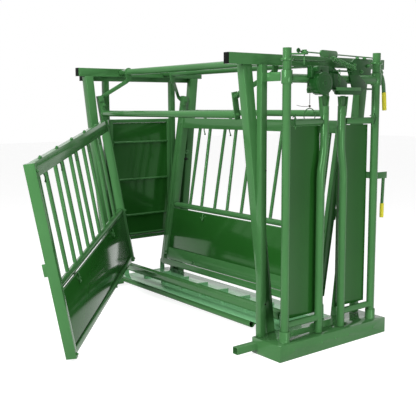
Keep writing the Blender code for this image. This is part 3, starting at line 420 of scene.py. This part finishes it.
def plate(outline, lift, rounding=0.0006):
    """A flat plate: the outline's face is filled, pushed out by lift, and its edges broken."""
    mesh = bpy.data.meshes.new("plate")
    mesh.from_pydata([tuple(p) for p in outline], [], [tuple(range(len(outline)))])
    obj = bpy.data.objects.new("plate", mesh)
    bpy.context.scene.collection.objects.link(obj)
    select_only(obj)
    bpy.ops.object.mode_set(mode="EDIT")
    bpy.ops.mesh.select_all(action="SELECT")
    bpy.ops.mesh.extrude_region_move(TRANSFORM_OT_translate={"value": tuple(lift)})
    bpy.ops.mesh.select_all(action="SELECT")
    bpy.ops.mesh.normals_make_consistent(inside=False)
    bpy.ops.object.mode_set(mode="OBJECT")
    add_bevel(obj, rounding, 2, 40)
    smooth(obj)
    return obj


def coil(a, b, radius, wire, turns):
    """A wound spring from a to b."""
    a, b = Vector(a), Vector(b)
    turn = (b - a).to_track_quat("Z", "Y")
    count = turns * 10
    points = [a + (b - a) * i / count + turn @ Vector((radius * cos(pi * i / 5), radius * sin(pi * i / 5), 0))
              for i in range(count + 1)]
    curve = bpy.data.curves.new("coil", "CURVE")
    curve.dimensions = "3D"
    curve.bevel_depth = wire
    curve.bevel_resolution = 2
    curve.use_fill_caps = True
    spline = curve.splines.new("POLY")
    spline.points.add(count)
    for point, where in zip(spline.points, points):
        point.co = (*where, 1)
    obj = bpy.data.objects.new("coil", curve)
    bpy.context.scene.collection.objects.link(obj)
    select_only(obj)
    bpy.ops.object.convert(target="MESH")
    obj = bpy.context.object
    smooth(obj, 60)
    return obj


def bent_rod(points, radius):
    """A bent round bar through the points, with a ball at each bend."""
    parts = [rod(a, b, radius, 14) for a, b in zip(points, points[1:])]
    parts += [ball(p, radius * 1.01) for p in points[1:-1]]
    return join(parts)


# Places on the leaning sides: t goes across a side, y along it and s up the lean
def side_matrix(side, opened=False):
    lean = Matrix.Rotation(side * LEAN, 4, "Y")
    place = Matrix.Translation((side * PLANE_X, 0, 0)) @ lean
    if not opened:
        return place
    centre = Vector((side * GATE_AXIS_T, GATE_REAR + 0.010, GATE_AXIS_S))
    upright = Vector((side * sin(GATE_AXIS_LEAN) * cos(GATE_AXIS_RAKE), sin(GATE_AXIS_RAKE),
                      cos(GATE_AXIS_LEAN) * cos(GATE_AXIS_RAKE)))
    axis = Matrix.Rotation(-side * LEAN, 3, "Y") @ upright
    swing = Quaternion(axis, side * GATE_OPEN).to_matrix().to_4x4()
    return place @ Matrix.Translation(centre) @ swing @ Matrix.Translation(-centre)


def fit_out(parts, name, material, body, matrix=None):
    """Join hardware into one piece, put it in its place and let it ride."""
    obj = join(parts)
    if matrix is not None:
        obj.data.transform(matrix)
    return wear(obj, name, material, body)


def bar_rows():
    return [GATE_REAR - BAR_FIRST - BAR_STEP * k for k in range(BAR_COUNT)]


def dress_side_gate(name, side):
    """Bolts, slot plates and hooks of a side gate, and the rolled edge and catches of its drop panel. The
    slot plates and hooks are in the darker green of painted shade.
    """
    place = side_matrix(side, opened=name == "left")
    gate = "side_gate_" + name
    bolts, slots, hooks = [], [], []
    inner, outer, base, half = side * 0.020, side * 0.041, GATE_HIGH - 0.001, 0.020
    stem, tip = side * 0.030, side * 0.008
    for y in bar_rows():
        corners = ((inner, y - half), (outer, y - half), (outer, y + half), (inner, y + half))
        slots.append(plate([(t, along, base) for t, along in corners], (0, 0, 0.0035)))
        bolts.append(bolt_at((stem, y, GATE_HIGH + 0.0005), (0, 0, 1), 1.25))
        hooks.append(bent_rod([(stem, y, GATE_HIGH), (stem, y, 1.548), (side * 0.012, y - 0.030, 1.532),
                               (tip, y - 0.052, 1.506)], 0.0052))
        hooks.append(ball((tip, y - 0.052, 1.502), 0.0085))
    for y in (GATE_FRONT + 0.020, GATE_REAR - 0.020):
        for s in (0.300, MID_RAIL_S, 1.600):
            bolts.append(bolt_at((side * 0.0005, y, s), (-side, 0, 0), 1.0))
    for y in (GATE_FRONT + 0.045, GATE_REAR - 0.045):
        hooks.append(ring((side * MID_RAIL_T, y, MID_RAIL_S), (0, 1, 0), 0.0275, 0.0028))
    fit_out(bolts, f"gate_bolts_{name}", GREEN, gate, place)
    fit_out(slots, f"gate_slot_plates_{name}", SHADED_GREEN, gate, place)
    fit_out(hooks, f"gate_latches_{name}", SHADED_GREEN, gate, place)

    ends = [(side * 0.0265, y, PANEL_EDGE_S) for y in (GATE_FRONT + 0.045, GATE_REAR - 0.045)]
    lip = [rod(*ends, 0.0055, 16, 0.001)]
    catches = []
    for from_rear in (0.530, 1.670):
        y = GATE_REAR - from_rear
        catches.append(rod((side * 0.014, y, 0.672), (side * 0.014, y, 0.750), 0.0062, 14, 0.001))
        catches.append(rod((side * 0.014, y, 0.700), (side * 0.024, y, 0.700), 0.0150, 20, 0.001))
        catches.append(ball((side * 0.006, y - 0.012, 0.690), 0.0090))
        catches.append(bolt_at((side * 0.0195, y + 0.028, 0.700), (-side, 0, 0), 0.8))
        catches.append(bolt_at((side * 0.0195, y - 0.032, 0.722), (-side, 0, 0), 0.8))
    fit_out(lip, f"panel_rolled_edge_{name}", GREEN, "drop_panel_" + name, place)
    fit_out(catches, f"panel_catches_{name}", GREEN, "drop_panel_" + name, place)


def dress_far_gate():
    """The knob and loop of the catch on the far gate's rear stile, and the wire clip below its panel."""
    place = side_matrix(1)
    y, s = 2.171, 1.250
    knob = [rod((0.030, y, s), (0.006, y, s), 0.0060, 14), ball((0.000, y, s), 0.0150)]
    fit_out(knob, "far_catch_knob", BLACK_PLASTIC_AND_HOLE_SHADE, "side_gate_right", place)
    loop = [ring((0.016, 2.185, 1.318), (1, 0, 0), 0.0210, 0.0032)]
    fit_out(loop, "far_catch_loop", GREEN, "side_gate_right", place)
    wire = [bent_rod([(0.010, 1.815, 0.244), (0.008, 1.851, 0.274), (0.010, 1.887, 0.244)], 0.0038)]
    fit_out(wire, "far_panel_wire_clip", GREEN, "side_gate_right", place)


def dress_squeeze_side(name, side):
    """The top pipe of a squeeze side with its weld rings, and the bolts of its upright and its stile."""
    place = side_matrix(side)
    body = "squeeze_side_" + name
    t, s = side * 0.036, 1.7145
    upright_face, stile_face = 0.4292, 2.3568
    start, end = 0.4390, 2.3640
    pipe = [rod((t, start, s), (t, end, s), 0.0275, 32, 0.0015)]
    pipe += [ring((t, y, s), (0, 1, 0), 0.0262, 0.0040) for y in (start + 0.005, end - 0.008)]
    fit_out(pipe, f"squeeze_top_pipe_{name}", GREEN, body, place)
    spots = ((t, upright_face, s), (t, upright_face, 1.850),
             (side * 0.024, stile_face, 1.790), (side * 0.052, stile_face, 1.835))
    bolts = [bolt_at(spot, (0, -1, 0), 1.5) for spot in spots]
    fit_out(bolts, f"squeeze_side_bolts_{name}", GREEN, body, place)


def dress_tail_gate():
    """Round ribs on the animal's side of the tail gate, with their weld spots."""
    ribs, spots = [], []
    for z in RIB_HEIGHTS:
        ribs.append(rod((-RIB_HALF_X, RIB_Y, z), (RIB_HALF_X, RIB_Y, z), 0.0115, 20, 0.002))
        for k in range(WELD_COUNT):
            spots.append(ball((-0.255 + 0.085 * k, RIB_Y - 0.0045, z - 0.004), 0.0100, (2.2, 0.8, 0.7)))
    fit_out(ribs, "tail_gate_ribs", GREEN, "tail_gate")
    fit_out(spots, "tail_gate_rib_welds", GREEN, "tail_gate")


def dress_headgate():
    """Weld rings, the pan's carriage bolt, black discs of painted shade in the holes, and the forks and clips
    of the doors.
    """
    welds = []
    for side in (-1, 1):
        x = side * POST_X
        welds.append(ring((x, POST_Y, PAN_TOP + 0.0015), (0, 0, 1), 0.0375, 0.0036))
        welds.append(ring((x, POST_Y, POST_TOP - 0.0015), (0, 0, 1), 0.0272, 0.0014))
        welds.append(ring((side * STANCHION_X, POST_Y, PAN_TOP + 0.0150), (0, 0, 1), 0.0235, 0.0030))
    fit_out(welds, "post_weld_rings", GREEN, "frame")
    z = 0.059
    head = [ball((0, -0.1448, z), 0.0120, (1, 0.45, 1)),
            rod((0, -0.1440, z), (0, -0.1462, z), 0.0150, 24, 0.0005)]
    fit_out(head, "pan_carriage_bolt", GREEN, "frame")
    # Thin black discs on the surface: painted shade where the holes are.
    holes = [rod((-0.481, 0.0950, 1.304), (-0.481, 0.0936, 1.304), 0.0065, 20),
             rod((-0.480, 0.0950, 0.350), (-0.480, 0.0936, 0.350), 0.0065, 20),
             rod((-0.270, -0.1885, 1.992), (-0.270, -0.1898, 1.992), 0.0120, 24)]
    fit_out(holes, "hole_shade_discs", BLACK_PLASTIC_AND_HOLE_SHADE, "frame")
    inner, outer, face = 0.020, 0.042, -0.094
    for name, side in SIDES:
        prongs = []
        x = side * 0.098
        for turn in (-1, 1):
            outline = ((outer, 1.812), (outer - 0.010, 1.812), (inner - 0.004, 1.700),
                       (inner + 0.004, 1.672), (inner + 0.008, 1.700))
            prongs.append(plate([(x + turn * reach, face, z) for reach, z in outline], (0, 0.030, 0), 0.0016))
        prongs.append(bolt_at((side * 0.092, -0.1030, 1.690), (0, -1, 0), 1.1))
        fit_out(prongs, f"door_fork_{name}", GREEN, "headgate_door_" + name)
        # The clips are in the darker green of painted shade.
        clips = [bent_rod([(side * 0.405, -0.112, 1.690), (side * 0.420, -0.118, 1.655),
                           (side * 0.405, -0.112, 1.610)], 0.0042)]
        fit_out(clips, f"door_bar_clip_{name}", SHADED_GREEN, "headgate_door_" + name)


def dress_mechanism():
    """Spring, chain, shelf, ribs, bolts, drum rims and rods of the latch, and the tie rod's end pieces. The
    ribs, rims, rods and roller are in the darker green of painted shade.
    """
    spring_y, rod_y, tie_y = -0.150, -0.112, -0.146
    spring = [coil((-0.095, spring_y, 2.066), (0.135, spring_y, 2.004), 0.0150, 0.0034, 16),
              rod((-0.112, spring_y, 2.0705), (0.150, spring_y, 1.9998), 0.0050, 14)]
    fit_out(spring, "return_spring", GREEN, "frame")
    links = []
    for k in range(CHAIN_LINKS):
        axis = (1, 0, 0) if k % 2 else (0, 1, 0)
        links.append(ring((-0.027, -0.152, CHAIN_TOP - CHAIN_PITCH * k), axis, 0.0085, 0.0022))
    fit_out(links, "stop_chain", GREEN, "frame")
    y, corners = -0.1815, ((-0.085, 1.850), (0.170, 1.850), (0.170, 1.873), (-0.085, 1.873))
    shelf = [plate([(x, y, z) for x, z in corners], (0, 0.004, 0), 0.0012)]
    fit_out(shelf, "mechanism_shelf_lip", GREEN, "frame")
    corners = ((-0.170, 1.856), (-0.120, 1.856), (-0.120, 1.826), (-0.150, 1.826))
    ribs = [plate([(x, y, z) for y, z in corners], (0.005, 0, 0), 0.0008) for x in (-0.040, 0.060, 0.160)]
    fit_out(ribs, "mechanism_ribs", SHADED_GREEN, "frame")
    bolts = [bolt_at((x, -0.127, 2.0735), (0, 0, 1), 1.4) for x in (0.185, 0.262)]
    spots = ((0.150, 2.030), (0.300, 2.030), (0.225, 1.985))
    bolts += [bolt_at((x, -0.1340, z), (0, -1, 0), 1.2) for x, z in spots]
    fit_out(bolts, "mechanism_bolts", GREEN, "frame")
    rims = [ring((DRUM_X, -0.1845, DRUM_Z), (0, 1, 0), 0.058, 0.0035),
            ring((DRUM_X, -0.1850, DRUM_Z), (0, 1, 0), 0.016, 0.0040)]
    fit_out(rims, "drum_rims", SHADED_GREEN, "frame")
    rods = [rod((-0.425, rod_y, 2.046), (-0.130, rod_y, 2.046), 0.0048, 14),
            rod((-0.425, rod_y, 2.004), (-0.296, rod_y, 2.004), 0.0040, 14),
            rod((-0.080, -0.140, 1.985), (0.118, -0.140, 1.985), 0.0060, 14)]
    fit_out(rods, "mechanism_rods", SHADED_GREEN, "frame")
    hanger = [rod((-0.365, tie_y, 2.082), (-0.365, tie_y, 2.018), 0.0042, 14, 0.001),
              ring((-0.377, tie_y, 2.098), (0, 1, 0), 0.0125, 0.0045),
              bolt_at((-0.377, -0.150, 2.098), (0, -1, 0), 0.9)]
    fit_out(hanger, "tie_rod_eye", GREEN, "headgate_tie_rod")
    roller = [ring((-0.420, tie_y, 2.108), (0, 1, 0), 0.0095, 0.0068),
              rod((-0.412, tie_y, 2.105), (-0.386, tie_y, 2.100), 0.0050, 14)]
    fit_out(roller, "tie_rod_roller", SHADED_GREEN, "headgate_tie_rod")


BOLT = build_bolt()


# Floor, backdrop and light
def seen_ray(tree):
    """One where the camera, a reflection or a clear surface looks at it, else zero."""
    path = tree.nodes.new("ShaderNodeLightPath")
    seen = compute(tree, "MAXIMUM", path.outputs["Is Camera Ray"], path.outputs["Is Glossy Ray"])
    return compute(tree, "MAXIMUM", seen, path.outputs["Is Transmission Ray"])


def build_stage():
    """A grey floor and a dim world that look white to the camera and in reflections."""
    bpy.ops.object.select_all(action="DESELECT")
    bpy.ops.mesh.primitive_plane_add(size=60, location=(0, 0, 0))
    floor = bpy.context.object
    floor.name = "studio_floor"
    material = bpy.data.materials.new("studio_floor")
    material.use_nodes = True
    tree = material.node_tree
    shader = tree.nodes["Principled BSDF"]
    shader.inputs["Base Color"].default_value = (0.45, 0.45, 0.45, 1)
    shader.inputs["Roughness"].default_value = 0.9
    shader.inputs["Specular IOR Level"].default_value = 0.1
    shader.inputs["Emission Color"].default_value = (1, 1, 1, 1)
    tree.links.new(compute(tree, "MULTIPLY", seen_ray(tree), 0.87), shader.inputs["Emission Strength"])
    floor.data.materials.append(material)

    world = bpy.data.worlds.new("studio")
    bpy.context.scene.world = world
    world.use_nodes = True
    tree = world.node_tree
    nodes, links = tree.nodes, tree.links
    plain = nodes["Background"]
    plain.inputs["Color"].default_value = (1, 1, 1, 1)
    plain.inputs["Strength"].default_value = 0.11
    white = nodes.new("ShaderNodeBackground")
    white.inputs["Color"].default_value = (1, 1, 1, 1)
    white.inputs["Strength"].default_value = 1.0
    mix = nodes.new("ShaderNodeMixShader")
    links.new(seen_ray(tree), mix.inputs[0])
    links.new(plain.outputs[0], mix.inputs[1])
    links.new(white.outputs[0], mix.inputs[2])
    links.new(mix.outputs[0], nodes["World Output"].inputs["Surface"])


LOW_BOUNCE = "low_bounce"


def add_lamp(name, where, aim, size, power):
    data = bpy.data.lights.new(name, "AREA")
    data.shape = "RECTANGLE"
    data.size, data.size_y = size
    data.energy = power
    lamp = bpy.data.objects.new(name, data)
    bpy.context.scene.collection.objects.link(lamp)
    lamp.location = where
    lamp.visible_camera = False
    lamp.visible_glossy = name != LOW_BOUNCE
    lamp.rotation_euler = (Vector(aim) - Vector(where)).to_track_quat("-Z", "Y").to_euler()


def light_stage():
    """A key from the left, a weak front light, a low bounce without reflections, and a light from above."""
    add_lamp("key_panel", (-6.8, -1.2, 3.4), (-0.2, 0.5, 0.9), (2.6, 3.0), 430)
    add_lamp("front_panel", (-0.6, -6.0, 1.2), (0.1, 0.0, 0.5), (2.6, 1.6), 80)
    add_lamp(LOW_BOUNCE, (0.0, -2.1, 0.06), (0.05, -0.1, 0.35), (2.4, 0.9), 26)
    add_lamp("top_panel", (-0.5, 1.0, 5.5), (0, 1.0, 0), (3.5, 5.0), 170)


place_camera()
dress_solids()
dress_cord()
for side_name, side_sign in SIDES:
    dress_side_gate(side_name, side_sign)
    dress_squeeze_side(side_name, side_sign)
dress_far_gate()
dress_tail_gate()
dress_headgate()
dress_mechanism()
bpy.data.objects.remove(BOLT)
build_stage()
light_stage()
bpy.context.scene.view_settings.view_transform = "Standard"
